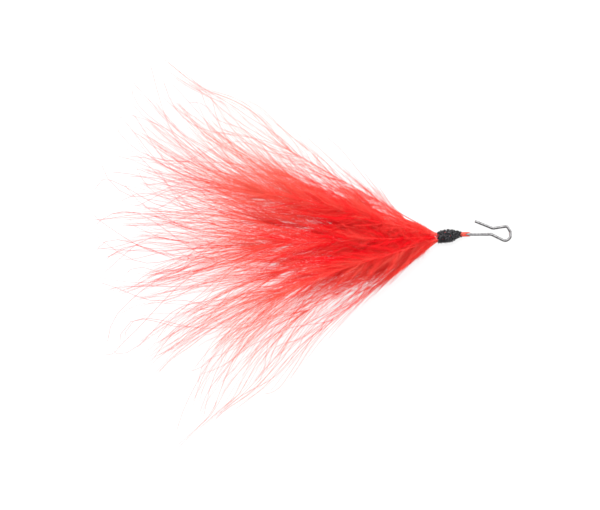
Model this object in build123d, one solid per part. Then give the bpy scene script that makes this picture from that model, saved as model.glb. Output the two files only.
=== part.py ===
from build123d import *
import math
import os

# A marabou feather tail on a snap clip, lying on a flat surface.
# +X runs along the clip's shank towards its loop, +Z is up, and the surface is z = 0.

# Snap clip: one spring wire, bent flat
WIRE_R = 0.4
WIRE_Z = 1.8             # the wire's height over the surface, set by the thickest part of the binding
SHANK_Y = 3.74
SHANK_BEND_X = 44.0      # hidden bend where the shank turns into the binding's axis
LOOP_FRONT_X = 59.05
ARM_GAP = 0.12           # slit at the front of the loop, where the wire flexes
SHANK_CORNERS = [        # X, Y over the shank, bend radius
    (53.6, 0.0, 1.2),
    (57.75, -2.05, 1.35),
    (LOOP_FRONT_X, -0.85, 1.1),
]
ARM_CORNERS = [
    (LOOP_FRONT_X, 0.76, 1.0),
    (58.05, 2.33, 0.55),
    (54.05, 1.72, 1.2),
]
ARM_TIP = (48.88, 3.78)
ARM_TIP_CHAMFER = 0.12

# Binding: a spindle of thread on an axis that is turned a little from the shank
BIND_TILT = 8.5
BIND_LENGTH = 7.3
REAR_TO_BEND = 6.1
BIND_PROFILE = [         # distance from the rear face, radius
    (0.0, 1.24),
    (1.0, 1.50),
    (2.4, 1.71),
    (3.8, 1.74),
    (5.0, 1.36),
    (6.2, 0.92),
    (BIND_LENGTH, 0.76),
]
UNDERWRAP_R = 0.84
UNDERWRAP_START = 0.3
UNDERWRAP_END = 4.4
TAIL_CRIMPS = [          # distance from the rear face and sideways kink, which key the hidden tail into the thread
    (0.7, 0.0),
    (2.2, 0.16),
    (3.6, -0.16),
    (5.0, 0.05),
]
TAIL_CRIMP_R = 0.9

# Whip finish: a few tight turns, a small lump and the cut end of the thread
THREAD_R = 0.15
KNOT_TURNS = 3
KNOT_START = 0.85
KNOT_PITCH = 0.24
KNOT_RING_R = 1.54
KNOT_LUMP_R = 0.34
KNOT_ANGLE = 195.0
TAG_SLOPE = 1.4          # how far the cut end runs back for each millimetre outwards
TAG_LENGTH = 0.9

# Quills: round stems on a ring in the binding, trimmed to butts in front of it
QUILL_R = 0.14
QUILL_BEND_R = 1.2
RING_R = 1.02            # over the underwrap
FRONT_RING_R = 0.56      # on the bare wire
FRONT_RING_START = 6.75
RING_END = 4.9
SHORT_BUTT_END = 4.0
BUTT_REACH_TOP = 0.8     # how far the long butts stand out of the binding, over and under the wire
BUTT_REACH_SIDE = 2.6    # and beside it
QUILL_REACH = 0.62       # the stem's share of its feather's length

# Fan of feathers behind the binding, in layers that rise from the surface
LAYER_RISE = [0.16, 0.5, 0.84]
LAYER_HALF = 0.155
FAN_ROOT_HEIGHT = 3.6
FAN_HEIGHT = 22.6
FAN_TOP_HEIGHT = 25.0
LOBE_HALF_ANGLE = 7.4
LOBE_STATIONS = [        # share of the feather's length, fullness, height of the fan there
    (0.045, 1.0, FAN_ROOT_HEIGHT),
    (0.5, 1.0, FAN_HEIGHT),
    (0.8, 0.7, 0.5 * (FAN_HEIGHT + FAN_TOP_HEIGHT)),
    (1.0, 0.07, FAN_TOP_HEIGHT),
]
FEATHERS = [             # angle round the binding, direction of the tip from -X, layer, length
    (-150, -38.5, 0, 85.5),
    (-120, -20.0, 0, 93.0),
    (-90, -3.0, 0, 97.3),
    (-60, 14.0, 0, 97.3),
    (-30, 30.5, 0, 95.0),
    (180, -29.0, 1, 86.0),
    (150, -12.0, 1, 92.0),
    (30, 5.0, 1, 93.0),
    (0, 22.0, 1, 90.0),
    (120, -18.0, 2, 76.0),
    (90, -1.5, 2, 84.0),
    (60, 15.0, 2, 80.0),
]

tilt = math.radians(BIND_TILT)
REAR = Vector(
    SHANK_BEND_X - REAR_TO_BEND * math.cos(tilt),
    SHANK_Y - REAR_TO_BEND * math.sin(tilt),
    WIRE_Z,
)
# In this plane z runs forwards along the binding, x to the side and y up
BINDING = Plane(origin=REAR, x_dir=(-math.sin(tilt), math.cos(tilt), 0), z_dir=(math.cos(tilt), math.sin(tilt), 0))


def round_bar(points, bend_radii, radius):
    """A round bar along straight runs joined by bends."""
    path = FilletPolyline(*points, radius=bend_radii)
    start = Plane(origin=path @ 0, z_dir=path % 0)
    return sweep(start * Circle(radius), path=path)


def clip_shank():
    """Hidden crimped tail, straight shank and the near side of the loop."""
    points = [BINDING.from_local_coords(Vector(side, 0, forward)) for forward, side in TAIL_CRIMPS]
    points.append(Vector(SHANK_BEND_X, SHANK_Y, WIRE_Z))
    radii = [TAIL_CRIMP_R] * len(TAIL_CRIMPS)
    for x, over, radius in SHANK_CORNERS:
        points.append(Vector(x, SHANK_Y + over, WIRE_Z))
        radii.append(radius)
    points.append(Vector(LOOP_FRONT_X, SHANK_Y - ARM_GAP / 2, WIRE_Z))
    return round_bar(points, radii, WIRE_R)


def clip_arm():
    """Far side of the loop, the throat and the flared free end."""
    points = [Vector(LOOP_FRONT_X, SHANK_Y + ARM_GAP / 2, WIRE_Z)]
    points += [Vector(x, SHANK_Y + over, WIRE_Z) for x, over, radius in ARM_CORNERS]
    tip = Vector(ARM_TIP[0], SHANK_Y + ARM_TIP[1], WIRE_Z)
    arm = round_bar(points + [tip], [radius for x, over, radius in ARM_CORNERS], WIRE_R)
    end_face = arm.faces().sort_by_distance(tip)[0]
    return chamfer(end_face.edges(), ARM_TIP_CHAMFER)


def ring_point(forward, ring_r, angle):
    """A place round the wire: on the binding's axis behind the shank's bend, on the shank in front of it."""
    side = ring_r * math.cos(math.radians(angle))
    up = ring_r * math.sin(math.radians(angle))
    if forward <= REAR_TO_BEND:
        return BINDING.from_local_coords(Vector(side, up, forward))
    return Vector(SHANK_BEND_X + forward - REAR_TO_BEND, SHANK_Y + side, WIRE_Z + up)


def fan_point(share, azimuth, length, height):
    """A place along a feather, at a share of its length."""
    turn = math.radians(azimuth)
    distance = share * length
    return Vector(REAR.X - distance * math.cos(turn), REAR.Y + distance * math.sin(turn), height)


def lobe_sections(azimuth, layer, length):
    """Middle, half width and half height of a feather's lobe at each station."""
    sections = []
    for share, fullness, fan_height in LOBE_STATIONS:
        half_width = share * length * math.tan(math.radians(LOBE_HALF_ANGLE)) * fullness
        half_height = LAYER_HALF * fan_height * fullness
        height = half_height if layer == 0 else LAYER_RISE[layer] * fan_height
        sections.append((fan_point(share, azimuth, length, height), half_width, half_height))
    return sections


def quill(ring_angle, azimuth, layer, length, long_butt):
    """A feather's stem, from its trimmed butt through the binding and out along the fan."""
    if long_butt:
        beside = abs(math.cos(math.radians(ring_angle)))
        reach = BUTT_REACH_TOP + (BUTT_REACH_SIDE - BUTT_REACH_TOP) * beside
        points = [
            ring_point(BIND_LENGTH + reach, FRONT_RING_R, ring_angle),
            ring_point(FRONT_RING_START, FRONT_RING_R, ring_angle),
            ring_point(RING_END, RING_R, ring_angle),
        ]
    else:
        points = [ring_point(SHORT_BUTT_END, RING_R, ring_angle)]
    points.append(ring_point(QUILL_BEND_R / 3, RING_R, ring_angle))
    root, middle, shoulder, tip = [section[0] for section in lobe_sections(azimuth, layer, length)]
    past_middle = (QUILL_REACH - LOBE_STATIONS[1][0]) / (LOBE_STATIONS[2][0] - LOBE_STATIONS[1][0])
    points += [root, middle, middle + (shoulder - middle) * past_middle]
    return round_bar(points, [QUILL_BEND_R] * (len(points) - 2), QUILL_R)


def barbs(azimuth, layer, length):
    """The soft lobe that a feather's barbs fill, before its stem is cut out of it."""
    turn = math.radians(azimuth)
    outward = Vector(-math.cos(turn), math.sin(turn), 0)
    side = Vector(math.sin(turn), math.cos(turn), 0)
    ellipses = []
    for middle, half_width, half_height in lobe_sections(azimuth, layer, length):
        ellipses.append(Plane(origin=middle, x_dir=side, z_dir=outward) * Ellipse(half_width, half_height))
    return loft(ellipses, ruled=True)


def finish_knot():
    """Tight turns of thread round the binding, with a lump and a cut end low on one side."""
    knot = None
    for turn in range(KNOT_TURNS):
        ring = Pos(0, 0, KNOT_START + turn * KNOT_PITCH) * Torus(KNOT_RING_R, THREAD_R)
        knot = ring if knot is None else knot + ring
    angle = math.radians(KNOT_ANGLE)
    lump_place = Vector(KNOT_RING_R * math.cos(angle), KNOT_RING_R * math.sin(angle), KNOT_START + KNOT_PITCH)
    tag_plane = Plane(origin=lump_place, z_dir=(math.cos(angle), 0.0, -TAG_SLOPE))
    tag = tag_plane * Cylinder(THREAD_R, TAG_LENGTH, align=(Align.CENTER, Align.CENTER, Align.MIN))
    return BINDING * (knot + Pos(*lump_place) * Sphere(KNOT_LUMP_R) + tag)


def thread_underwrap(shank):
    length = UNDERWRAP_END - UNDERWRAP_START
    core = Cylinder(UNDERWRAP_R, length, align=(Align.CENTER, Align.CENTER, Align.MIN))
    return BINDING * (Pos(0, 0, UNDERWRAP_START) * core) - shank


def thread_wrap(inside):
    """The spindle of thread, with everything that it binds cut out of it."""
    outline = Spline(*[(radius, forward) for forward, radius in BIND_PROFILE])
    half = make_face(
        Polyline((BIND_PROFILE[-1][1], BIND_LENGTH), (0, BIND_LENGTH), (0, 0), (BIND_PROFILE[0][1], 0)) + outline
    )
    spindle = revolve(Plane.XZ * half, Axis.Z)
    wrap = BINDING * spindle
    for piece in inside:
        wrap = wrap - piece
    return wrap


nodes = {"clip_shank": clip_shank(), "clip_arm": clip_arm(), "finish_knot": finish_knot()}
nodes["thread_underwrap"] = thread_underwrap(nodes["clip_shank"])
for number, (ring_angle, azimuth, layer, length) in enumerate(FEATHERS, start=1):
    stem = quill(ring_angle, azimuth, layer, length, ring_angle % 60 == 30)
    nodes[f"feather_{number:02d}_quill"] = stem
    nodes[f"feather_{number:02d}_barbs"] = barbs(azimuth, layer, length) - stem
bound = [shape for name, shape in nodes.items() if not name.endswith("_barbs") and name != "clip_arm"]
nodes["thread_wrap"] = thread_wrap(bound)

os.makedirs("parts", exist_ok=True)
for name, shape in nodes.items():
    export_step(shape, f"parts/{name}.step")
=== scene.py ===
import bpy
import math
import numpy as np
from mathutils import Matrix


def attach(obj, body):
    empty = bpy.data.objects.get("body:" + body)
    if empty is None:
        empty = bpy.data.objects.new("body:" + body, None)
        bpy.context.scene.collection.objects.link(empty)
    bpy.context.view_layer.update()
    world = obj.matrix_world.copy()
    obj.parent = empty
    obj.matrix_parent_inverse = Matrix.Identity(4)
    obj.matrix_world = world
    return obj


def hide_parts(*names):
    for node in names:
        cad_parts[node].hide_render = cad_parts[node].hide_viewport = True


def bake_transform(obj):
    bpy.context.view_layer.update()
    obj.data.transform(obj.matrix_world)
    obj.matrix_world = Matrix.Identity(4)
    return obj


# A red marabou feather tail on a spring-wire snap clip, lying on a pale floor and seen from straight above.
# Lengths are millimetres in the part's frame, and MM turns them into metres. Angles named DEG are degrees.
# A tone is 0 for the deepest red of the dye and 1 for the palest. A full feather has a fullness of 1.
# A shape is a tuple: vertices, groups of faces with one number of corners each, and the vertices' tones.

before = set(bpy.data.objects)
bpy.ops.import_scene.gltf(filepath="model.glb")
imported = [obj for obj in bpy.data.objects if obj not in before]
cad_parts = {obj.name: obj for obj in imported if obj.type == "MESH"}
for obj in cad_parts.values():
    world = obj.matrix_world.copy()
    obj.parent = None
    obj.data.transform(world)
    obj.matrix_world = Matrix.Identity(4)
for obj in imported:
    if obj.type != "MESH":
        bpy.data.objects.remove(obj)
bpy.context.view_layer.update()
MM = 0.001
UP = np.array([0.0, 0.0, 1.0])
rng = np.random.default_rng(20)

# ---- The clip's wire, as in the part's source ----
WIRE_R = 0.4
WIRE_Z = 1.8
SHANK_Y = 3.74
SHANK_BEND_X = 44.0
LOOP_FRONT_X = 59.05
WIRE_CORNERS = [         # X, Y over the shank, bend radius
    (SHANK_BEND_X, 0.0, 1.5),
    (53.6, 0.0, 1.2),
    (57.75, -2.05, 1.35),
    (LOOP_FRONT_X, -0.85, 1.1),
    (LOOP_FRONT_X, 0.76, 1.0),
    (58.05, 2.33, 0.55),
    (54.05, 1.72, 1.2),
]
ARM_TIP = (48.88, 3.78)
ARM_TIP_ROUNDING = [     # distance along the arm's rounded end, and the share of the wire's radius there
    (0.0, 1.0),
    (0.05, 0.97),
    (0.10, 0.86),
    (0.13, 0.70),
    (0.14, 0.0),
]
WIRE_TAIL = 0.7          # the drawn wire's hidden end, from the binding's rear
WIRE_SIDES = 20
WIRE_SPACING = 0.12      # between points in its bends

# ---- The binding, as in the part's source ----
BIND_TILT = math.radians(8.5)
BIND_LENGTH = 7.3
REAR_TO_BEND = 6.1
BIND_FORWARD = np.array([math.cos(BIND_TILT), math.sin(BIND_TILT), 0.0])
BIND_SIDE = np.array([-math.sin(BIND_TILT), math.cos(BIND_TILT), 0.0])
REAR = np.array([SHANK_BEND_X, SHANK_Y, WIRE_Z]) - REAR_TO_BEND * BIND_FORWARD
PROFILE_AT = [0.0, 1.0, 2.4, 3.8, 5.0, 6.2, BIND_LENGTH]
PROFILE_R = [1.24, 1.50, 1.71, 1.74, 1.36, 0.92, 0.76]

# ---- The binding's thread ----
THREAD_R = 0.14
THREAD_SIDES = 7
POINTS_PER_TURN = 30
BASE_TURNS = 22          # the even layer that covers the whole spindle
BASE_LIFT = -0.07
BASE_WOBBLE = 0.04
CROSSING_TURNS = [8, -7, 6, -9]    # loose passes over it, forwards and back
CROSSING_SPAN = (0.2, 6.6)
RETURN_SPAN = (6.2, 0.3)
CROSSING_LIFT = 0.13
CROSSING_WOBBLE = 0.20
LUMP_HEIGHT = 0.14
LUMPS_PER_TURN = 9
WOBBLES = 24             # along one pass
CORE_GAP = 0.17          # the black core lies this far under the spindle's surface
CORE_SIDES = 28
FUZZ_R = 0.022           # loose fibres on the thread
FUZZ_COUNT = 1100
FUZZ_LENGTH = 0.6
KNOT_THREAD_R = 0.13
KNOT_RING_R = 1.56
KNOT_TURNS = 3.2
KNOT_START = 0.75        # from the binding's rear
KNOT_END = 1.45
KNOT_SIDE = math.radians(195)    # where the lump and the cut end are, round the binding
LUMP_AT = 1.1
LUMP_RING_R = 1.58
LUMP_CURLS = 2.3
TAG_AT = 1.0
TAG_RING_R = 1.60
TAG_R = 0.12
TAG_FUZZ_COUNT = 60
TAG_FUZZ_LENGTH = 0.7

# ---- The butts of the quills in front of the binding, and fibres caught in the thread ----
BUTT_COUNT = 110
BUTT_HIDDEN = 0.5        # how far the butts start inside the binding
BUTT_REACH_TOP = 1.15
BUTT_REACH_SIDE = 1.5    # what is added beside the wire
BUTT_GAP = 0.06          # between the wire and the innermost butt's middle
BUTT_DEPTH = 0.16
CAUGHT_COUNT = 8

# ---- The feathers ----
FULLNESS = [0.8, 0.9, 1.0, 1.3, 0.65, 0.9, 1.0, 1.0, 0.75, 0.85, 1.0, 1.0]    # one for each feather
STEM_SHARE = 0.52        # where the stem ends, as a share of its feather's length
STEM_HIDDEN = 0.8        # how far the drawn stem starts inside the binding
STEM_ROOT_R = 0.14
STEM_TIP_R = 0.04
STEM_SIDES = 8
BARB_COUNTS = [          # the least, and what a full feather adds
    (50, 70),            # in the body
    (18, 25),            # at the stem's end
    (150, 0),            # at its root
    (45, 45),            # short ones that stand off it
]
BODY_BARB_LENGTH = 31
BODY_OPENING_DEG = 14    # the angle at which the body's barbs leave the stem, and what its end adds
BODY_OPENING_ADDED = 22
TIP_OPENING_DEG = 9
ROOT_OPENING_DEG = 14
SHORT_OPENING_DEG = 40
STRAY_SHARES = [0.15, 0.25, 0.13, 0.0]    # of each group, how many stray
STRAY_OPENING_ADDED = 12
BARB_POINTS = 15
BARB_SIDES = 3
BARB_ROOT_R = 0.046
BARB_TIP_R = 0.030
BARB_FOOT_R = 0.035      # what is added to a barb's radius at the binding, and how fast that falls off
BARB_FOOT_REACH = 2.5
ROOT_SHARE = 0.10        # barbs that start below this share of the stem are root barbs
ROOT_JITTER = 0.34       # how far barbs at the binding start beside and in front of their stem
ROOT_FORWARD = 0.6
ROOT_FADE = 0.03         # the share of the stem over which that falls off
ROLL_DEG = 12            # how far over the level barbs leave their stem
ROLL_SPREAD_DEG = 44
SETTLE = (4, 7)          # the distance over which a barb turns from its opening angle into the fan's flow
SETTLE_ADDED = 7         # what is added to that towards the stem's end
REST_DEG = 5             # the angle to the flow that is left then
REST_SPREAD_DEG = 3.5
CLIMB_OVER = 14          # barbs come back to their stem's height over about this distance
CLIMB_LIMIT = 0.3
WAVES = (0.6, 1.5)       # waves of the barbs' sway along their length
SWAY = 0.030
SWAY_GROWTH = 1.3        # the power with which it grows along a barb
STRAY_SWAY = 2.6         # how many times as far a stray barb sways, and how thick it is drawn
STRAY_THICKNESS = 1.5
LYING_THICKNESS = 0.94
WISP_STRETCHES = 11      # barbs gather with others from the same stretch of the stem, side and roll
ROLL_LIMITS = [-0.5, 0.0, 0.5]
GATHER_FROM = 26         # distances over which the wisps gather
GATHER_OVER = 42
WISP_PULL = (0.6, 0.97)
STRAY_PULL = 0.05
KEPT_OUTSIDE = 0.14      # the share of barbs that stay where the fan is empty
BARBULE_R = 0.019
BARBULE_TIP_LENGTH = 0.5 # at the barb's tip, and what is added at its root
BARBULE_LENGTH = 2.1
BARBULE_FOOT_LENGTH = 0.5    # the longest at the binding, and how much more for each millimetre from it
BARBULE_FOOT_GROWTH = 0.45
BARBULE_UPRIGHT = 0.7    # they stand less up and down than to the sides
BARBULE_LEAN_DEG = 33
BARBULE_LEAN_SPREAD_DEG = 13
BARBULES = 60000         # tried on a full feather; those outside the plume's body are dropped
MOST_BARBULES = 36000    # kept, so that a plume stays under 200 000 faces
BARBULE_REACH = 0.92     # the share of each barb that carries them
ROOT_BARBULES = 9000
MOST_ROOT_BARBULES = 6000
ROOT_BARBULE_REACH = 0.35

# ---- The dye: tones, and the distances and angles over which they change ----
MIDDLE_TONE = 0.06
LOCKS = 40               # neighbouring barbs share a tone, and each lock and each barb has its own
LOCK_SPREAD = 0.16
BARB_SPREAD = 0.12
PALER_FROM = 29          # barbs and fluff grow paler towards the tips
PALER_OVER = 35
BARBS_PALER = 0.76
FLUFF_PALER = 0.80
TIPS_FROM = 58           # but the bare tips are deeper again
TIPS_OVER = 22
TIPS_DEEPER = 0.6
STRAY_DEEPER = 0.25
EDGE_FROM_DEG = 11       # the fan's edges are paler than its middle
EDGE_OVER_DEG = 15
EDGE_PALER = 0.36

# ---- The fan, in distance from the binding's rear end and degrees round it ----
FLOOR_GAP = 0.06
FLOOR_SKIN = 0.005       # nothing is drawn under this height
PLUME_TOP = 24.0         # barbs that rise over this are pressed back towards it
TOP_GIVE = 0.25
FAN_REACH = 96.0         # and so are barbs that reach farther than this
REACH_GIVE = 0.3
LOW_HEIGHT = 2.0         # below this, height falls off without reaching the floor
UPPER_EDGE_DEG = 34.0    # barbs outside these edges are pressed back
LOWER_EDGE_DEG = -38.0
UPPER_FADE_DEG = 39.0    # the fan's fullness falls to nothing here, over these widths
UPPER_FADE_WIDTH = 20.0
UPPER_FADE_POWER = 1.3
LOWER_FADE_DEG = -41.5
LOWER_FADE_WIDTH = 22.0
NOTCH_AT = 12.0          # a notch in the upper edge, close to the binding
NOTCH_WIDTH = 7.0
NOTCH_IN_EDGE = 8.0      # its depth in degrees
NOTCH_IN_FADE = 12.0
TIPS_IN = 3.0            # the upper edge turns in by this many degrees at the tips
TIPS_IN_FROM = 55
TIPS_IN_OVER = 30
FOOT_IN_EDGE = 13.0      # at the binding the lower edge is this many degrees wider, and less farther out
FOOT_EDGE_REACH = 4.0
FOOT_IN_FADE = 7.0
FOOT_FADE_REACH = 8.0
PRESS_FROM = 0.4         # how far behind the binding's rear end the pressing starts
PRESS = 0.84             # the share of a barb's way past an edge that is taken back
PRESS_LESS = 0.32        # what is lost from it out to the fan's reach, and gained at the tips
PRESS_LESS_OVER = 90
PRESS_TIPS = 0.35
PRESS_TIPS_FROM = 60
PRESS_TIPS_OVER = 20
CONE_R = 1.05            # close to the binding, barbs stay in a cone of this radius at its rear end
CONE_LENGTH = 9
CONE_POWER = 0.82
FLARE = 0.80             # how much the tips turn out of the fan's straight lines
FLARE_FROM = 15
FLARE_OVER = 75
WIDEST_TURN = 0.9        # in radians
BODY_DEG = [-44, -28, -12, 4, 12, 24, 33]
BODY_REACH = [12, 30, 41, 54, 66, 42, 30]    # how far the plume's fluffy body reaches at those degrees
BODY_FADE = 6.5


# ---------------------------------------------------------------- mesh building

def mesh_piece(name, shape, material, smooth=True):
    """A mesh object from a shape."""
    vertices, face_groups, tones = shape
    vertices = np.array(vertices, dtype=float)
    vertices[:, 2] = np.maximum(vertices[:, 2], FLOOR_SKIN)
    mesh = bpy.data.meshes.new(name)
    mesh.vertices.add(len(vertices))
    mesh.vertices.foreach_set("co", (vertices * MM).astype(np.float32).ravel())
    groups = [np.asarray(group, dtype=np.int32) for group in face_groups if len(group)]
    corners = np.concatenate([group.ravel() for group in groups])
    sizes = np.concatenate([np.full(len(group), group.shape[1], dtype=np.int32) for group in groups])
    starts = np.concatenate([[0], np.cumsum(sizes)[:-1]]).astype(np.int32)
    mesh.loops.add(len(corners))
    mesh.loops.foreach_set("vertex_index", corners)
    mesh.polygons.add(len(sizes))
    mesh.polygons.foreach_set("loop_start", starts)
    mesh.polygons.foreach_set("use_smooth", np.full(len(sizes), smooth))
    mesh.update(calc_edges=True)
    attribute = mesh.attributes.new("tone", "FLOAT", "POINT")
    attribute.data.foreach_set("value", tones.astype(np.float32))
    mesh.materials.append(material)
    piece = bpy.data.objects.new(name, mesh)
    bpy.context.scene.collection.objects.link(piece)
    return piece


def unit(vectors):
    """The same directions, one long."""
    return vectors / np.maximum(np.linalg.norm(vectors, axis=-1, keepdims=True), 1e-12)


def tubes(paths, radii, sides, tones=0.0, across=None):
    """Closed tubes that end in a point, along paths (tube, point, 3) with radii and tones (tube, point)."""
    count, points = paths.shape[:2]
    ahead = unit(np.gradient(paths, axis=1))
    if across is None:
        across = np.cross(ahead, UP)
    across = unit(across - np.sum(across * ahead, axis=-1, keepdims=True) * ahead)
    other = np.cross(ahead, across)
    angles = np.arange(sides) * 2 * math.pi / sides
    turn = (
        np.cos(angles)[:, None] * across[:, :-1, None, :]
        + np.sin(angles)[:, None] * other[:, :-1, None, :]
    )
    rings = paths[:, :-1, None, :] + radii[:, :-1, None, None] * turn
    vertices = np.concatenate([rings.reshape(count, -1, 3), paths[:, -1:, :]], axis=1).reshape(-1, 3)
    per_tube = (points - 1) * sides + 1
    ring = np.arange(points - 2)[:, None] * sides
    k = np.arange(sides)
    following = (k + 1) % sides
    quads = np.stack([
        ring + k,
        ring + following,
        ring + sides + following,
        ring + sides + k,
    ], axis=-1).reshape(-1, 4)
    last = (points - 2) * sides
    ends = np.stack([last + k, last + following, np.full(sides, per_tube - 1)], axis=-1)
    base = np.arange(count)[:, None, None] * per_tube
    groups = [
        (base + quads).reshape(-1, 4),
        (base + ends).reshape(-1, 3),
        (base + k[::-1][None, None, :]).reshape(-1, sides),
    ]
    tones = np.broadcast_to(tones, (count, points))
    ring_tones = np.repeat(tones[:, :-1], sides, axis=1)
    return vertices, groups, np.concatenate([ring_tones, tones[:, -1:]], axis=1).ravel()


def slivers(roots, directions, lengths, radius, tones=0.0):
    """Thin pointed three-sided hairs, each one closed."""
    directions = unit(directions)
    across = unit(np.cross(directions, rng.normal(size=directions.shape)))
    other = np.cross(directions, across)
    corners = []
    for turn in (0.0, 2 * math.pi / 3, 4 * math.pi / 3):
        corners.append(roots + radius * (math.cos(turn) * across + math.sin(turn) * other))
    corners.append(roots + directions * lengths[:, None])
    vertices = np.stack(corners, axis=1).reshape(-1, 3)
    faces = np.array([[0, 2, 1], [0, 1, 3], [1, 2, 3], [2, 0, 3]])
    faces = (np.arange(len(roots))[:, None, None] * 4 + faces).reshape(-1, 3)
    return vertices, [faces], np.repeat(np.broadcast_to(tones, len(roots)), 4)


def joined(*shapes):
    """Several shapes as one."""
    all_vertices = []
    all_groups = []
    all_tones = []
    offset = 0
    for vertices, groups, tones in shapes:
        all_vertices.append(vertices)
        all_groups += [group + offset for group in groups]
        all_tones.append(tones)
        offset += len(vertices)
    return np.concatenate(all_vertices), all_groups, np.concatenate(all_tones)


def rounded_path(corners, radii, spacing):
    """Points along straight runs joined by arcs."""
    corners = [np.asarray(corner, dtype=float) for corner in corners]
    points = [corners[0]]
    for before, corner, after, radius in zip(corners, corners[1:], corners[2:], radii):
        back = unit(before - corner)
        on = unit(after - corner)
        half = 0.5 * math.acos(np.clip(np.dot(back, on), -1, 1))
        reach = radius / math.tan(half)
        middle = corner + unit(back + on) * radius / math.sin(half)
        start = corner + back * reach - middle
        end = corner + on * reach - middle
        sweep = math.pi - 2 * half
        steps = max(3, int(math.ceil(radius * sweep / spacing)))
        for t in np.linspace(0, 1, steps + 1):
            arm = math.sin((1 - t) * sweep) * start + math.sin(t * sweep) * end
            points.append(middle + arm / math.sin(sweep))
    points.append(corners[-1])
    filled = [points[0]]
    for a, b in zip(points, points[1:]):
        pieces = max(1, int(np.linalg.norm(b - a) / (2 * spacing)))
        filled += [a + (b - a) * t for t in np.linspace(0, 1, pieces + 1)[1:]]
    return np.array(filled)


def node_points(node):
    """A CAD node's vertices, in millimetres."""
    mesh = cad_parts[node].data
    points = np.empty(len(mesh.vertices) * 3, dtype=np.float32)
    mesh.vertices.foreach_get("co", points)
    return points.reshape(-1, 3).astype(float) / MM


# ---------------------------------------------------------------- materials

def new_material(name):
    material = bpy.data.materials.new(name)
    material.use_nodes = True
    nodes = material.node_tree.nodes
    return material, nodes, material.node_tree.links, nodes["Principled BSDF"]


def set_inputs(node, **values):
    """Values for a node's inputs, with _ for each space in their names."""
    for name, value in values.items():
        node.inputs[name.replace("_", " ")].default_value = value


def mix_colours(nodes, links, factor, dark, light):
    mix = nodes.new("ShaderNodeMix")
    mix.data_type = "RGBA"
    set_inputs(mix, A=(*dark, 1), B=(*light, 1))
    links.new(factor, mix.inputs["Factor"])
    return mix.outputs["Result"]


def remapped(nodes, links, value, **limits):
    """A value stretched from the From limits to the To limits, each 0 and 1 if not given."""
    stretch = nodes.new("ShaderNodeMapRange")
    set_inputs(stretch, **limits)
    links.new(value, stretch.inputs["Value"])
    return stretch.outputs["Result"]


def noise(nodes, links, scale, detail=3.0):
    place_on = nodes.new("ShaderNodeTexCoord")
    texture = nodes.new("ShaderNodeTexNoise")
    set_inputs(texture, Scale=scale, Detail=detail)
    links.new(place_on.outputs["Object"], texture.inputs["Vector"])
    return texture.outputs["Fac"]


def add_bump(nodes, links, shader, height, strength, distance):
    bump = nodes.new("ShaderNodeBump")
    set_inputs(bump, Strength=strength, Distance=distance)
    links.new(height, bump.inputs["Height"])
    links.new(bump.outputs[0], shader.inputs["Normal"])


def feather_material():
    """Dyed barbs: their tone runs from deep red to pale, and light comes through them from behind.

    A faint glow stands in for the light that real barbs scatter between them.
    """
    material, nodes, links, shader = new_material("dyed_marabou")
    tone = nodes.new("ShaderNodeAttribute")
    tone.attribute_name = "tone"
    mottle = nodes.new("ShaderNodeMath")
    mottle.operation = "MULTIPLY_ADD"
    links.new(noise(nodes, links, scale=220), mottle.inputs[0])
    mottle.inputs[1].default_value = 0.35
    links.new(tone.outputs["Fac"], mottle.inputs[2])
    deep = (0.94, 0.006, 0.021)
    pale = (0.88, 0.21, 0.148)
    colour = mix_colours(nodes, links, mottle.outputs[0], deep, pale)
    links.new(colour, shader.inputs["Base Color"])
    set_inputs(shader, Roughness=0.55, Specular_IOR_Level=0.2)
    set_inputs(shader, Sheen_Weight=0.4, Sheen_Tint=(1.0, 0.16, 0.14, 1))
    set_inputs(shader, Emission_Color=(1.0, 0.02, 0.03, 1), Emission_Strength=0.05)
    through = nodes.new("ShaderNodeBsdfTranslucent")
    links.new(colour, through.inputs["Color"])
    both = nodes.new("ShaderNodeMixShader")
    set_inputs(both, Fac=0.5)
    links.new(shader.outputs[0], both.inputs[1])
    links.new(through.outputs[0], both.inputs[2])
    links.new(both.outputs[0], nodes["Material Output"].inputs["Surface"])
    return material


def stem_material():
    """Dyed quill: a firm stem, glossier than the barbs."""
    material, nodes, links, shader = new_material("dyed_quill")
    mottle = noise(nodes, links, scale=900)
    colour = mix_colours(nodes, links, mottle, (0.88, 0.012, 0.018), (0.98, 0.06, 0.045))
    links.new(colour, shader.inputs["Base Color"])
    set_inputs(shader, Roughness=0.38, Subsurface_Weight=0.15, Subsurface_Scale=0.0003)
    return material


def thread_material():
    """Black spun thread: matte, with fine fibres, and greyish specks on its high spots that are painted
    highlights.
    """
    material, nodes, links, shader = new_material("black_thread")
    fibres = noise(nodes, links, scale=3400, detail=5.0)
    # The light grey specks in the thread's colour are painted highlights, on the same noise that raises its
    # bumps.
    painted_highlight_specks = remapped(nodes, links, fibres, From_Min=0.50, From_Max=0.68)
    colour = mix_colours(nodes, links, painted_highlight_specks, (0.002, 0.002, 0.003), (0.14, 0.135, 0.145))
    links.new(colour, shader.inputs["Base Color"])
    set_inputs(shader, Roughness=0.82, Specular_IOR_Level=0.25, Sheen_Weight=0.06, Sheen_Roughness=0.4)
    add_bump(nodes, links, shader, fibres, strength=0.6, distance=0.00004)
    return material


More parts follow.
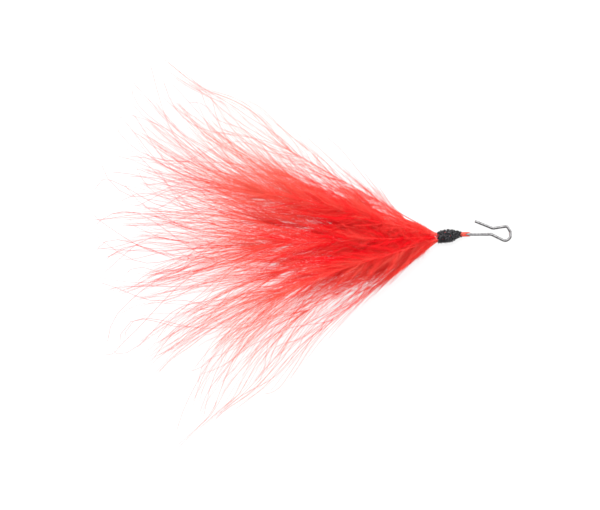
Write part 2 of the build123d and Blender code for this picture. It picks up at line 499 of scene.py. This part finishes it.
def wire_material():
    """Drawn spring wire: satin steel with fine marks and darker oxide patches."""
    material, nodes, links, shader = new_material("spring_wire_steel")
    patches = noise(nodes, links, scale=1400, detail=5.0)
    patches = remapped(nodes, links, patches, From_Min=0.35, From_Max=0.65)
    colour = mix_colours(nodes, links, patches, (0.32, 0.31, 0.315), (0.60, 0.59, 0.60))
    links.new(colour, shader.inputs["Base Color"])
    set_inputs(shader, Metallic=1.0, Specular_Tint=(0.06, 0.06, 0.06, 1))
    roughness = noise(nodes, links, scale=6000, detail=2.0)
    roughness = remapped(nodes, links, roughness, To_Min=0.16, To_Max=0.32)
    links.new(roughness, shader.inputs["Roughness"])
    marks = noise(nodes, links, scale=9000, detail=2.0)
    add_bump(nodes, links, shader, marks, strength=0.15, distance=0.00001)
    return material


def floor_material():
    """Pale floor that glows, so that its shadows stay light."""
    material, nodes, links, shader = new_material("pale_floor")
    clouds = noise(nodes, links, scale=6)
    colour = mix_colours(nodes, links, clouds, (0.205, 0.205, 0.205), (0.215, 0.215, 0.215))
    links.new(colour, shader.inputs["Base Color"])
    set_inputs(shader, Roughness=0.7, Specular_IOR_Level=0.1)
    set_inputs(shader, Emission_Color=(1.0, 1.0, 1.0, 1), Emission_Strength=0.76)
    return material


MARABOU = feather_material()
QUILL = stem_material()
THREAD = thread_material()
STEEL = wire_material()


# ---------------------------------------------------------------- camera, light and floor

PICTURE_WIDTH = 171.4    # across the picture, at the wire's height
PICTURE_CENTRE = (-1.07, -2.14)
CAMERA_HEIGHT = 720.0
SENSOR_WIDTH = 36.0
LIGHTS = [               # name, place, size, watts
    ("key", (-150, 560, 800), 600, 9.6),
    ("fill", (320, -420, 900), 1300, 8.6),
]
FLOOR_HALF = 1500


def place(thing, x, y, z):
    thing.location = (x * MM, y * MM, z * MM)
    return thing


def add_camera():
    camera = bpy.data.objects.new("camera", bpy.data.cameras.new("camera"))
    bpy.context.scene.collection.objects.link(camera)
    place(camera, *PICTURE_CENTRE, CAMERA_HEIGHT)
    camera.data.sensor_width = SENSOR_WIDTH
    camera.data.lens = SENSOR_WIDTH * (CAMERA_HEIGHT - WIRE_Z) / PICTURE_WIDTH
    camera.data.clip_start = 0.01
    bpy.context.scene.camera = camera


def add_light(name, x, y, z, size, power):
    """A square light that faces the part's middle and doesn't show in the wire's reflections."""
    lamp = bpy.data.lights.new(name, "AREA")
    lamp.shape = "SQUARE"
    lamp.size = size * MM
    lamp.energy = power
    light = place(bpy.data.objects.new(name, lamp), x, y, z)
    light.rotation_euler = (math.acos(z / math.sqrt(x * x + y * y + z * z)), 0, math.atan2(x, -y))
    light.visible_glossy = False
    bpy.context.scene.collection.objects.link(light)


def add_world():
    """Light all round, bright from +Y and nearly dark from -Y, which shades the wire from edge to edge."""
    world = bpy.data.worlds.new("studio")
    bpy.context.scene.world = world
    world.use_nodes = True
    nodes = world.node_tree.nodes
    links = world.node_tree.links
    direction = nodes.new("ShaderNodeTexCoord")
    split = nodes.new("ShaderNodeSeparateXYZ")
    links.new(direction.outputs["Generated"], split.inputs[0])
    limits = {"From_Min": -0.40, "From_Max": 0.12, "To_Min": 0.04, "To_Max": 1.0}
    shade = remapped(nodes, links, split.outputs["Y"], **limits)
    links.new(shade, nodes["Background"].inputs["Color"])
    set_inputs(nodes["Background"], Strength=1.40)


def add_floor():
    half = FLOOR_HALF * MM
    corners = [(-half, -half, 0), (half, -half, 0), (half, half, 0), (-half, half, 0)]
    mesh = bpy.data.meshes.new("floor")
    mesh.from_pydata(corners, [], [(0, 1, 2, 3)])
    mesh.materials.append(floor_material())
    floor = bpy.data.objects.new("floor", mesh)
    bpy.context.scene.collection.objects.link(floor)


# ---------------------------------------------------------------- the fan's shape

def ramp(value, start, length):
    """0 up to the start, 1 from a length after it on, and smooth between."""
    x = np.clip((value - start) / length, 0, 1)
    return x * x * (3 - 2 * x)


def fan_place(points):
    """Distance from the binding's rear end over the surface, and the angle round it in radians."""
    out = points - REAR
    return np.hypot(out[..., 0], out[..., 1]), np.arctan2(out[..., 1], -out[..., 0])


def notch(distance):
    """How deep the notch in the fan's upper edge is, close to the binding."""
    return np.exp(-((distance - NOTCH_AT) / NOTCH_WIDTH) ** 2)


def fan_fullness(distance, turn):
    """How full the fan is: thinning out towards both edges, with a notch near the root of the upper one."""
    degrees = np.degrees(turn)
    upper_edge = UPPER_FADE_DEG - NOTCH_IN_FADE * notch(distance)
    lower_edge = LOWER_FADE_DEG - FOOT_IN_FADE * np.exp(-distance / FOOT_FADE_REACH)
    upper = np.clip((upper_edge - degrees) / UPPER_FADE_WIDTH, 0, 1) ** UPPER_FADE_POWER
    lower = np.clip((degrees - lower_edge) / LOWER_FADE_WIDTH, 0, 1)
    return upper * lower


def edge_tone(turn):
    """How much paler the fan is towards its edges."""
    return EDGE_PALER * ramp(np.abs(np.degrees(turn)), EDGE_FROM_DEG, EDGE_OVER_DEG)


def press_into_fan(paths):
    """Barbs that leave the fan's edges, its floor, its top or its reach are pressed back towards them."""
    distance, turn = fan_place(paths)
    inside = (paths - REAR) @ BIND_FORWARD > -PRESS_FROM
    upper_edge = UPPER_EDGE_DEG - NOTCH_IN_EDGE * notch(distance)
    upper_edge = upper_edge - TIPS_IN * ramp(distance, TIPS_IN_FROM, TIPS_IN_OVER)
    lower_edge = LOWER_EDGE_DEG - FOOT_IN_EDGE * np.exp(-distance / FOOT_EDGE_REACH)
    press = PRESS - PRESS_LESS * ramp(distance, 0, PRESS_LESS_OVER)
    press = press + PRESS_TIPS * ramp(distance, PRESS_TIPS_FROM, PRESS_TIPS_OVER)
    for edge, sign in ((upper_edge, 1.0), (lower_edge, -1.0)):
        turn = turn - sign * np.maximum(sign * (turn - np.radians(edge)), 0) * press
    distance = np.where(distance > FAN_REACH, FAN_REACH + REACH_GIVE * (distance - FAN_REACH), distance)
    height = paths[..., 2]
    height = np.where(height > PLUME_TOP, PLUME_TOP + TOP_GIVE * (height - PLUME_TOP), height)
    low = LOW_HEIGHT * np.exp((height - LOW_HEIGHT) / LOW_HEIGHT)
    height = np.where(height < LOW_HEIGHT, low, height)
    pressed = np.stack([
        REAR[0] - distance * np.cos(turn),
        REAR[1] + distance * np.sin(turn),
        np.maximum(height, FLOOR_GAP),
    ], axis=-1)
    return into_binding(np.where(inside[..., None], paths, pressed))


def into_binding(paths):
    """Close to the binding, everything stays in a cone that narrows to its rear end."""
    out = paths - REAR
    forward = out @ BIND_FORWARD
    aside = out - forward[..., None] * BIND_FORWARD
    from_axis = np.linalg.norm(aside, axis=-1)
    allowed = CONE_R + np.maximum(-forward, 0) ** CONE_POWER
    share = np.minimum(1.0, allowed / np.maximum(from_axis, 1e-6))
    share = np.where(forward > -CONE_LENGTH, share, 1.0)
    return paths + (share - 1)[..., None] * aside


# ---------------------------------------------------------------- feathers

def feather_axis(number):
    """Smooth middle line of a feather, from the binding through its CAD stem's end to its lobe's tip."""
    stem = node_points(f"feather_{number:02d}_quill")
    lobe = node_points(f"feather_{number:02d}_barbs")
    start_slice, end_slice, tip_slice = 0.6, 0.25, 0.3
    behind = -(stem - REAR) @ BIND_FORWARD
    start = stem[np.abs(behind) < start_slice].mean(axis=0)
    far = np.linalg.norm(stem - REAR, axis=1)
    end = stem[far > far.max() - end_slice].mean(axis=0)
    far = np.linalg.norm(lobe - REAR, axis=1)
    tip = lobe[far > far.max() - tip_slice].mean(axis=0)
    at_end = np.linalg.norm(end - start) / (np.linalg.norm(end - start) + np.linalg.norm(tip - end))
    t = np.linspace(0, 1, 41)[:, None]
    line = start * (t - at_end) * (t - 1) / at_end
    line = line + end * t * (t - 1) / (at_end * (at_end - 1))
    line = line + tip * t * (t - at_end) / (1 - at_end)
    return line


def along(line, t):
    """Places and directions at shares t of a line's length."""
    steps = np.linspace(0, 1, len(line))
    ahead = unit(np.gradient(line, axis=0))
    place_at = np.stack([np.interp(t, steps, line[:, k]) for k in range(3)], axis=-1)
    ahead_at = np.stack([np.interp(t, steps, ahead[:, k]) for k in range(3)], axis=-1)
    return place_at, unit(ahead_at)


def grown(line, roots, outward, share, barb_length, opening):
    """Barbs, step by step from their roots: out from the stem first, then with the fan's flow."""
    count = len(roots)
    line_reach = fan_place(line)[0]
    resting = np.radians(rng.normal(REST_DEG, REST_SPREAD_DEG, count))
    settle = rng.uniform(*SETTLE, count) + SETTLE_ADDED * share
    step = barb_length / (BARB_POINTS - 1)
    places = [roots]
    for k in range(1, BARB_POINTS):
        distance, turn = fan_place(places[-1])
        flare = 1 + FLARE * ramp(distance, FLARE_FROM, FLARE_OVER)
        turn = np.clip(turn, -WIDEST_TURN, WIDEST_TURN) * flare
        to_line = np.interp(distance, line_reach, line[:, 2]) - places[-1][:, 2]
        climb = np.clip(to_line / CLIMB_OVER, -CLIMB_LIMIT, CLIMB_LIMIT)
        flow = unit(np.stack([-np.cos(turn), np.sin(turn), climb], axis=-1))
        angle = resting + (opening - resting) * np.exp(-k * step / settle)
        heading = unit(np.cos(angle)[:, None] * flow + np.sin(angle)[:, None] * outward)
        places.append(places[-1] + heading * step[:, None])
    return np.stack(places, axis=1)


def sway(paths, level, upward, barb_length, stray):
    """Barbs with soft waves to the side and up and down, wider on stray ones."""
    count = len(paths)
    run = np.linspace(0, 1, BARB_POINTS)[None, :]
    for wave in WAVES:
        for vector in (level, upward):
            phase = rng.uniform(0, 2 * math.pi, count)[:, None]
            amount = rng.normal(0, SWAY / wave, count) * np.where(stray, STRAY_SWAY, 1.0) * barb_length
            bend = amount[:, None] * (np.sin(2 * math.pi * wave * run + phase) - np.sin(phase))
            paths = paths + (bend * run ** SWAY_GROWTH)[..., None] * vector[:, None, :]
    return paths


def gathered(paths, wisp, stray):
    """Barbs of one wisp drawn towards their middle line, but stray ones hardly at all."""
    run = np.linspace(0, 1, BARB_POINTS)[None, :]
    pull = np.where(stray, STRAY_PULL, rng.uniform(*WISP_PULL, len(paths)))
    distance = fan_place(paths)[0]
    gathering = ramp(run, 0.2, 0.7) * ramp(distance, GATHER_FROM, GATHER_OVER)
    paths = paths.copy()
    for group in np.unique(wisp):
        members = wisp == group
        middle = paths[members].mean(axis=0)
        weight = pull[members][:, None] * gathering[members]
        paths[members] += weight[..., None] * (middle - paths[members])
    return paths


def barb_paths(line, share, barb_length, opening, stray):
    """Barbs leave the stem at an angle, turn to run with the fan, and gather into wisps."""
    count = len(share)
    roots, ahead = along(line, share * STEM_SHARE)
    level = unit(np.cross(UP, ahead))
    upward = np.cross(ahead, level)
    side = np.where(rng.random(count) < 0.5, 1.0, -1.0)
    roll = rng.normal(math.radians(ROLL_DEG), math.radians(ROLL_SPREAD_DEG), count)
    near_root = np.exp(-share / ROOT_FADE)[:, None]
    jitter_level = rng.normal(0, ROOT_JITTER, (count, 1)) * level
    jitter_upward = rng.normal(0, ROOT_JITTER, (count, 1)) * upward
    roots = roots + near_root * (jitter_level + jitter_upward)
    roots = roots + near_root * ROOT_FORWARD * BIND_FORWARD
    outward = (np.cos(roll) * side)[:, None] * level + np.sin(roll)[:, None] * upward
    paths = grown(line, roots, outward, share, barb_length, opening)
    paths = sway(paths, level, upward, barb_length, stray)
    stretch = (share * WISP_STRETCHES).astype(int)
    wisp = stretch * 8 + (side > 0) * 4 + np.digitize(roll, ROLL_LIMITS)
    return press_into_fan(gathered(paths, wisp, stray))


def barbules(paths, count, most, tones, fullness, reach):
    """Fluff: fine hairs round each barb, thick in the plume's body and gone before the tips."""
    owner = rng.integers(0, len(paths), count)
    where = reach * rng.random(count)
    cell = where * (BARB_POINTS - 1)
    low = np.minimum(cell.astype(int), BARB_POINTS - 2)
    part = (cell - low)[:, None]
    before = paths[owner, low]
    after = paths[owner, low + 1]
    roots = before * (1 - part) + after * part
    distance, turn = fan_place(roots)
    body = np.interp(np.degrees(turn), BODY_DEG, BODY_REACH)
    chance = fullness * fan_fullness(distance, turn) / (1 + np.exp((distance - body) / BODY_FADE))
    kept = np.flatnonzero(rng.random(count) < chance)[:most]
    count = len(kept)
    owner, where, roots, ahead = owner[kept], where[kept], roots[kept], unit(after - before)[kept]
    distance, turn = distance[kept], turn[kept]
    level = unit(np.cross(UP, ahead))
    upward = np.cross(ahead, level)
    roll = rng.uniform(0, 2 * math.pi, count)
    outward = np.cos(roll)[:, None] * level + BARBULE_UPRIGHT * np.sin(roll)[:, None] * upward
    lean = np.radians(rng.normal(BARBULE_LEAN_DEG, BARBULE_LEAN_SPREAD_DEG, count))
    directions = unit(np.cos(lean)[:, None] * ahead + np.sin(lean)[:, None] * outward)
    lengths = (BARBULE_TIP_LENGTH + BARBULE_LENGTH * (1 - where) ** 0.7) * rng.uniform(0.5, 1.25, count)
    lengths = np.minimum(lengths, BARBULE_FOOT_LENGTH + BARBULE_FOOT_GROWTH * distance)
    tip_height = roots[:, 2] + lengths * directions[:, 2]
    directions[:, 2] = np.where(tip_height < 2 * BARBULE_R, 0.0, directions[:, 2])
    tones = tones[owner] + FLUFF_PALER * ramp(distance, PALER_FROM, PALER_OVER) + edge_tone(turn)
    return slivers(roots, directions, lengths, BARBULE_R, tones)


def barb_groups(length, fullness):
    """Where each barb starts on the stem, how long it is, how far it opens and whether it strays.

    In order: the body's barbs, those at the stem's end, those at its root, and short ones that stand off it.
    """
    counts = [int(least + added * fullness) for least, added in BARB_COUNTS]
    body, tips, base, short = counts
    share = np.concatenate([
        rng.uniform(0.03, 1.0, body) ** 0.85,
        rng.uniform(0.90, 1.0, tips),
        rng.uniform(0.0, ROOT_SHARE, base),
        rng.uniform(0.04, 0.62, short),
    ])
    barb_length = np.concatenate([
        np.clip(rng.normal(BODY_BARB_LENGTH, 5, body), 18, 42),
        length * (1 - STEM_SHARE) * np.clip(rng.normal(1.0, 0.23, tips), 0.4, 1.35),
        rng.uniform(7, 24, base),
        rng.uniform(6, 12, short),
    ])
    opening = np.radians(np.concatenate([
        BODY_OPENING_DEG + BODY_OPENING_ADDED * share[:body] + rng.normal(0, 6, body),
        rng.normal(TIP_OPENING_DEG, 7, tips),
        rng.normal(ROOT_OPENING_DEG, 12, base),
        rng.normal(SHORT_OPENING_DEG, 8, short),
    ]))
    stray = rng.random(len(share)) < np.repeat(STRAY_SHARES, counts)
    opening = opening + stray * np.radians(rng.normal(STRAY_OPENING_ADDED, 8, len(share)))
    return share, barb_length, opening, stray


def plume(number, line):
    """A feather's barbs and their fluff, as one piece."""
    length = np.linalg.norm(np.diff(line, axis=0), axis=1).sum()
    fullness = FULLNESS[number - 1]
    share, barb_length, opening, stray = barb_groups(length, fullness)
    paths = barb_paths(line, share, barb_length, opening, stray)
    distance, turn = fan_place(paths[:, BARB_POINTS // 2])
    kept = rng.random(len(paths)) < KEPT_OUTSIDE + (1 - KEPT_OUTSIDE) * fan_fullness(distance, turn)
    paths, share, stray = paths[kept], share[kept], stray[kept]

    distance, turn = fan_place(paths)
    lock_tone = rng.normal(0.0, LOCK_SPREAD, LOCKS)
    barb_tone = MIDDLE_TONE + lock_tone[(share * (LOCKS - 1)).astype(int)]
    barb_tone = barb_tone + rng.normal(0, BARB_SPREAD, len(paths))
    tones = barb_tone[:, None] + edge_tone(turn) - STRAY_DEEPER * stray[:, None]
    tones += BARBS_PALER * ramp(distance, PALER_FROM, PALER_OVER)
    tones -= TIPS_DEEPER * ramp(distance, TIPS_FROM, TIPS_OVER)
    run = np.linspace(0, 1, BARB_POINTS)[None, :]
    radii = BARB_ROOT_R + (BARB_TIP_R - BARB_ROOT_R) * run ** 2
    radii = radii + BARB_FOOT_R * np.exp(-distance / BARB_FOOT_REACH)
    radii = radii * np.where(stray, STRAY_THICKNESS, LYING_THICKNESS)[:, None]
    shafts = tubes(paths, radii, BARB_SIDES, tones)

    tried = int(BARBULES * min(1.0, fullness + 0.15))
    fluff = barbules(paths, tried, MOST_BARBULES, barb_tone, fullness, BARBULE_REACH)
    at_root = share < ROOT_SHARE
    paths, barb_tone = paths[at_root], barb_tone[at_root]
    root_fluff = barbules(paths, ROOT_BARBULES, MOST_ROOT_BARBULES, barb_tone, 1.0, ROOT_BARBULE_REACH)
    shape = joined(shafts, fluff, root_fluff)
    return mesh_piece(f"plume_{number:02d}", shape, MARABOU, smooth=False)


def feather(number):
    line = feather_axis(number)
    barbs = plume(number, line)
    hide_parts(f"feather_{number:02d}_barbs")
    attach(barbs, "tail")

    path = along(line, np.linspace(0, STEM_SHARE, 24))[0]
    path = np.concatenate([path[:1] + BIND_FORWARD * STEM_HIDDEN, path])
    radii = STEM_ROOT_R - (STEM_ROOT_R - STEM_TIP_R) * np.linspace(0, 1, len(path))
    stem = mesh_piece(f"stem_{number:02d}", tubes(path[None], radii[None], STEM_SIDES), QUILL)
    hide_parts(f"feather_{number:02d}_quill")
    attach(stem, "tail")


# ---------------------------------------------------------------- clip and binding

def clip_wire():
    """The whole clip in one bent wire."""
    corners = [REAR + BIND_FORWARD * WIRE_TAIL]
    corners += [(x, SHANK_Y + over, WIRE_Z) for x, over, radius in WIRE_CORNERS]
    corners.append((ARM_TIP[0], SHANK_Y + ARM_TIP[1], WIRE_Z))
    path = rounded_path(corners, [radius for x, over, radius in WIRE_CORNERS], WIRE_SPACING)
    ahead = unit(path[-1] - path[-2])
    rounding = np.array(ARM_TIP_ROUNDING)
    end = path[-1] - ahead * rounding[-1, 0]
    path = np.concatenate([path[:-1], end + ahead * rounding[:, :1]])
    radii = np.full(len(path), WIRE_R)
    radii[-len(rounding):] = WIRE_R * rounding[:, 1]
    wire = mesh_piece("snap_clip_wire", tubes(path[None], radii[None], WIRE_SIDES), STEEL)
    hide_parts("clip_shank", "clip_arm")
    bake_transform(wire)


def axis_point(forward):
    """Places on the binding's axis."""
    return REAR + np.multiply.outer(forward, BIND_FORWARD)


def bound_point(forward, radius, angle):
    """Places round the binding's axis."""
    beside = (radius * np.cos(angle))[:, None] * BIND_SIDE
    return axis_point(forward) + beside + (radius * np.sin(angle))[:, None] * UP


def spindle_radius(forward):
    return np.interp(forward, PROFILE_AT, PROFILE_R)


def laid_thread(forward, radius, angle, thread_r):
    """Thread laid round the binding's axis."""
    path = bound_point(forward, radius, angle)
    outward = bound_point(forward, radius + 1, angle) - path
    return tubes(path[None], np.full((1, len(path)), thread_r), THREAD_SIDES, across=outward[None])


def free_thread(path, radii):
    """Thread that leaves the windings, with its section set upright."""
    return tubes(path[None], radii[None], THREAD_SIDES, across=np.broadcast_to(UP, (1, len(path), 3)))


def unevenness(t, places):
    """A random line through a number of places, at shares t of its length."""
    return np.interp(t, np.linspace(0, 1, places), rng.normal(0, 1, places))


def winding(start, end, turns, lift, wobble):
    """One pass of thread along the binding."""
    t = np.linspace(0, 1, int(abs(turns) * POINTS_PER_TURN) + 2)
    angle = 2 * math.pi * turns * t + rng.uniform(0, 6)
    forward = start + (end - start) * t + wobble * unevenness(t, WOBBLES)
    forward = np.clip(forward, 0.05, BIND_LENGTH - 0.05)
    lumps = LUMP_HEIGHT * unevenness(t, int(abs(turns) * LUMPS_PER_TURN))
    return laid_thread(forward, spindle_radius(forward) - THREAD_R + lift + lumps, angle, THREAD_R)


def fuzz(places, outward, length):
    """Loose fibres that stand off the thread."""
    directions = outward + rng.normal(0, 0.9, outward.shape)
    lengths = rng.uniform(0.3, 1.0, len(places)) * length
    return slivers(places, directions, lengths, FUZZ_R)


def binding():
    shapes = [winding(0.05, BIND_LENGTH, BASE_TURNS, BASE_LIFT, BASE_WOBBLE)]
    for turns in CROSSING_TURNS:
        span = CROSSING_SPAN if turns > 0 else RETURN_SPAN
        shapes.append(winding(*span, turns, CROSSING_LIFT, CROSSING_WOBBLE))
    forward = rng.uniform(0.1, BIND_LENGTH - 0.1, FUZZ_COUNT)
    angle = rng.uniform(0, 2 * math.pi, FUZZ_COUNT)
    places = bound_point(forward, spindle_radius(forward) - 0.05, angle)
    shapes.append(fuzz(places, unit(places - axis_point(forward)), FUZZ_LENGTH))
    wrap = mesh_piece("thread_winding", joined(*shapes), THREAD)
    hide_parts("thread_wrap")
    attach(wrap, "tail")

    forward = np.linspace(0.02, BIND_LENGTH - 0.1, 40)
    radii = spindle_radius(forward) - CORE_GAP
    shape = tubes(axis_point(forward)[None], radii[None], CORE_SIDES)
    core = mesh_piece("thread_core", shape, THREAD)
    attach(core, "tail")


def knot():
    """Whip finish: tight turns, a lump where the thread passes under itself, and its cut end."""
    points = 110
    forward = np.linspace(KNOT_START, KNOT_END, points)
    angle = np.linspace(0, KNOT_TURNS * 2 * math.pi, points)
    turns = laid_thread(forward, np.full(points, KNOT_RING_R), angle, KNOT_THREAD_R)

    curl = np.linspace(0, 1, 50)
    curl_angle = 2 * math.pi * LUMP_CURLS * curl
    lump = bound_point(
        LUMP_AT + 0.18 * np.sin(curl_angle),
        LUMP_RING_R + 0.16 * np.cos(curl_angle),
        KNOT_SIDE + 0.22 * np.sin(2 * math.pi * curl),
    )
    loop = free_thread(lump, np.full(len(lump), KNOT_THREAD_R))

    t = np.linspace(0, 1, 12)
    tag = bound_point(TAG_AT - 0.5 * t, TAG_RING_R + 0.18 * t, KNOT_SIDE + 0.25 * t)
    cut_end = free_thread(tag, TAG_R * (1 - 0.35 * t))
    places = np.repeat(tag[-3:], TAG_FUZZ_COUNT // 3, axis=0)
    away = np.broadcast_to(unit(tag[-1] - tag[-4]), places.shape)
    frayed = fuzz(places, away, TAG_FUZZ_LENGTH)
    piece = mesh_piece("whip_finish", joined(turns, loop, cut_end, frayed), THREAD)
    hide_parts("finish_knot")
    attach(piece, "tail")


def caught_barbs():
    """A few red fibres that show between the last turns of thread."""
    forward = rng.uniform(0.15, 3.8, CAUGHT_COUNT)
    angle = np.radians(rng.uniform(20, 120, CAUGHT_COUNT))
    length = rng.uniform(0.12, 0.34, CAUGHT_COUNT)
    twist = rng.normal(0, 0.25, CAUGHT_COUNT)
    places = []
    for share in np.linspace(0, 1, 5):
        at = forward + length * share
        over = 0.09 + 0.05 * math.sin(math.pi * share)
        places.append(bound_point(at, spindle_radius(at) + over, angle + twist * share))
    paths = np.stack(places, axis=1)
    radii = np.repeat(rng.uniform(0.035, 0.06, CAUGHT_COUNT)[:, None], paths.shape[1], axis=1)
    return tubes(paths, radii, 4)


def butts():
    """The trimmed butts of the quills and barbs, lying along the wire in front of the binding."""
    angle = rng.uniform(0, 2 * math.pi, BUTT_COUNT)
    beside = np.abs(np.cos(angle))
    reach = (BUTT_REACH_TOP + BUTT_REACH_SIDE * beside ** 1.5) * rng.uniform(0.6, 1.0, BUTT_COUNT)
    ring = WIRE_R + BUTT_GAP + BUTT_DEPTH * rng.random(BUTT_COUNT)
    t = np.linspace(0, 1, 7)
    front = SHANK_BEND_X + BIND_LENGTH - REAR_TO_BEND
    spread = ring[:, None] * (1 + 0.10 * np.sin(3 * t + angle[:, None]) * t)
    paths = np.stack([
        front - BUTT_HIDDEN + (reach + BUTT_HIDDEN)[:, None] * t,
        SHANK_Y + spread * np.cos(angle)[:, None],
        WIRE_Z + spread * np.sin(angle)[:, None],
    ], axis=-1)
    radii = rng.uniform(0.05, 0.10, BUTT_COUNT)[:, None] * (1 - 0.5 * t)
    tones = rng.uniform(0.3, 1.2, BUTT_COUNT)[:, None]
    bundle = tubes(paths, radii, 5, tones)
    piece = mesh_piece("trimmed_butts", joined(bundle, caught_barbs()), MARABOU)
    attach(piece, "tail")


# ---------------------------------------------------------------- the whole scene

bpy.context.scene.view_settings.view_transform = "Standard"
add_camera()
for name, middle, size, power in LIGHTS:
    add_light(name, *middle, size, power)
add_world()
add_floor()
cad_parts["thread_underwrap"].data.materials.clear()
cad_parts["thread_underwrap"].data.materials.append(THREAD)
for number in range(1, len(FULLNESS) + 1):
    feather(number)
clip_wire()
binding()
knot()
butts()
